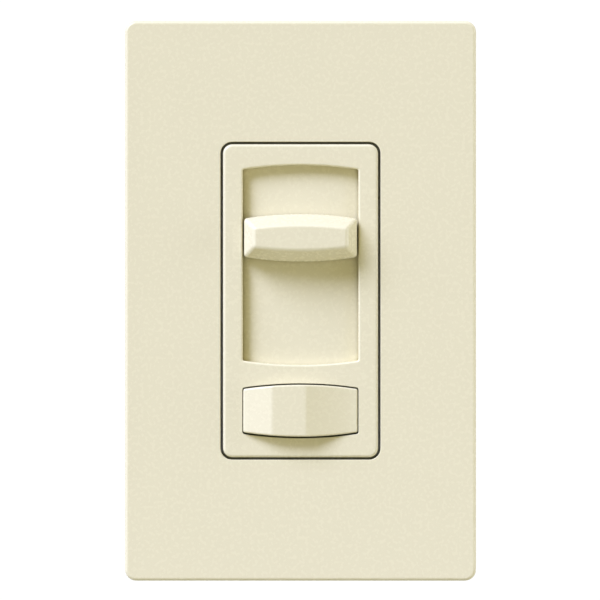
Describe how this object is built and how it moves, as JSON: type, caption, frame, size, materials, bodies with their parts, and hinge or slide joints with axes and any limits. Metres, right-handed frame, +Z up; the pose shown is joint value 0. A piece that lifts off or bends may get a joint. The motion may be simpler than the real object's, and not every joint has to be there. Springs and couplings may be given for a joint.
{
  "type": "dimmer slide switch",
  "caption": "Wall dimmer with a linear slide knob in a recess, a push button below it, a screwless wall plate, a metal yoke and a rear housing with wire leads.",
  "frame": {"origin": "centre of the bounding box, which lies on the centre line of the wall plate, 14.0 mm behind the surface of the wall", "axes": "+X to the right as seen from the room, +Y into the wall, +Z up; the room side faces -Y and the surface of the wall is the plane y = -0.014"},
  "size_m": [0.0746, 0.0544, 0.119],
  "materials": {
    "ivory_plastic": "satin moulded ivory thermoplastic, even colour",
    "black_thermoplastic": "matte black moulded thermoplastic",
    "aluminium": "stamped, lightly brushed",
    "zinc_plated_steel": "bright zinc plated",
    "copper_alloy": "bare copper alloy, slightly dull",
    "red_fibre": "dull vulcanised fibre",
    "board_laminate": "green coated laminate",
    "phenolic_resin": "brown phenolic and resin dip",
    "yellow_coating": "yellow coated iron powder core",
    "yellow_plastic": "yellow moulded capacitor case",
    "green_insulation": "green extruded wire insulation"
  },
  "bodies": {
    "frame": {"adapter_plate": "ivory_plastic", "adapter_screw_bottom": "zinc_plated_steel", "adapter_screw_top": "zinc_plated_steel", "back_cover": "black_thermoplastic", "bezel": "ivory_plastic", "button_spring": "zinc_plated_steel", "choke_core": "yellow_coating", "choke_winding": "copper_alloy", "circuit_board": "board_laminate", "conductor_ground": "copper_alloy", "conductor_line": "copper_alloy", "conductor_load": "copper_alloy", "diac": "phenolic_resin", "faceplate": "ivory_plastic", "filter_capacitor": "yellow_plastic", "insulator_sheet": "red_fibre", "lead_ground": "green_insulation", "lead_line": "black_thermoplastic", "lead_load": "black_thermoplastic", "line_contact": "copper_alloy", "load_contact": "copper_alloy", "mounting_screw_bottom": "zinc_plated_steel", "mounting_screw_top": "zinc_plated_steel", "pot_base": "phenolic_resin", "pot_case": "zinc_plated_steel", "resistor_lower": "phenolic_resin", "resistor_upper": "phenolic_resin", "rivet_lower_left": "aluminium", "rivet_lower_right": "aluminium", "rivet_upper_left": "aluminium", "rivet_upper_right": "aluminium", "rocker_pin": "zinc_plated_steel", "screw_retainer_bottom": "red_fibre", "screw_retainer_top": "red_fibre", "switch_cover": "black_thermoplastic", "switch_housing": "black_thermoplastic", "timing_capacitor": "phenolic_resin", "track_plate": "ivory_plastic", "triac_body": "black_thermoplastic", "triac_rivet": "aluminium", "triac_tab": "aluminium", "yoke": "aluminium"},
    "slider": {"slide_knob": "ivory_plastic", "slider_carriage": "ivory_plastic", "pot_lever": "black_thermoplastic", "pot_wiper": "copper_alloy"},
    "button": {"button": "ivory_plastic", "kicker": "black_thermoplastic", "kicker_pin": "zinc_plated_steel"},
    "rocker": {"switch_rocker": "black_thermoplastic", "moving_contact": "copper_alloy"}
  },
  "joints": [
    {"name": "brightness_slide", "type": "slide", "parent": "frame", "child": "slider", "axis": [0, 0, 1], "range_m": [-0.0219, 0.0103]},
    {"name": "button_press", "type": "slide", "parent": "frame", "child": "button", "axis": [0, 1, 0], "range_m": [0, 0.0018], "stiffness_N_per_m": 500, "springref_m": -0.0006, "deforming": ["button_spring"]},
    {"name": "rocker_tilt", "type": "hinge", "parent": "frame", "child": "rocker", "pos_m": [0, -0.0025, -0.0234], "axis": [-1, 0, 0], "range_deg": [0, 40]}
  ],
  "couplings": [
    {"joint": "rocker_tilt", "follows": "button_press", "rad_per_m": 387.8}
  ]
}
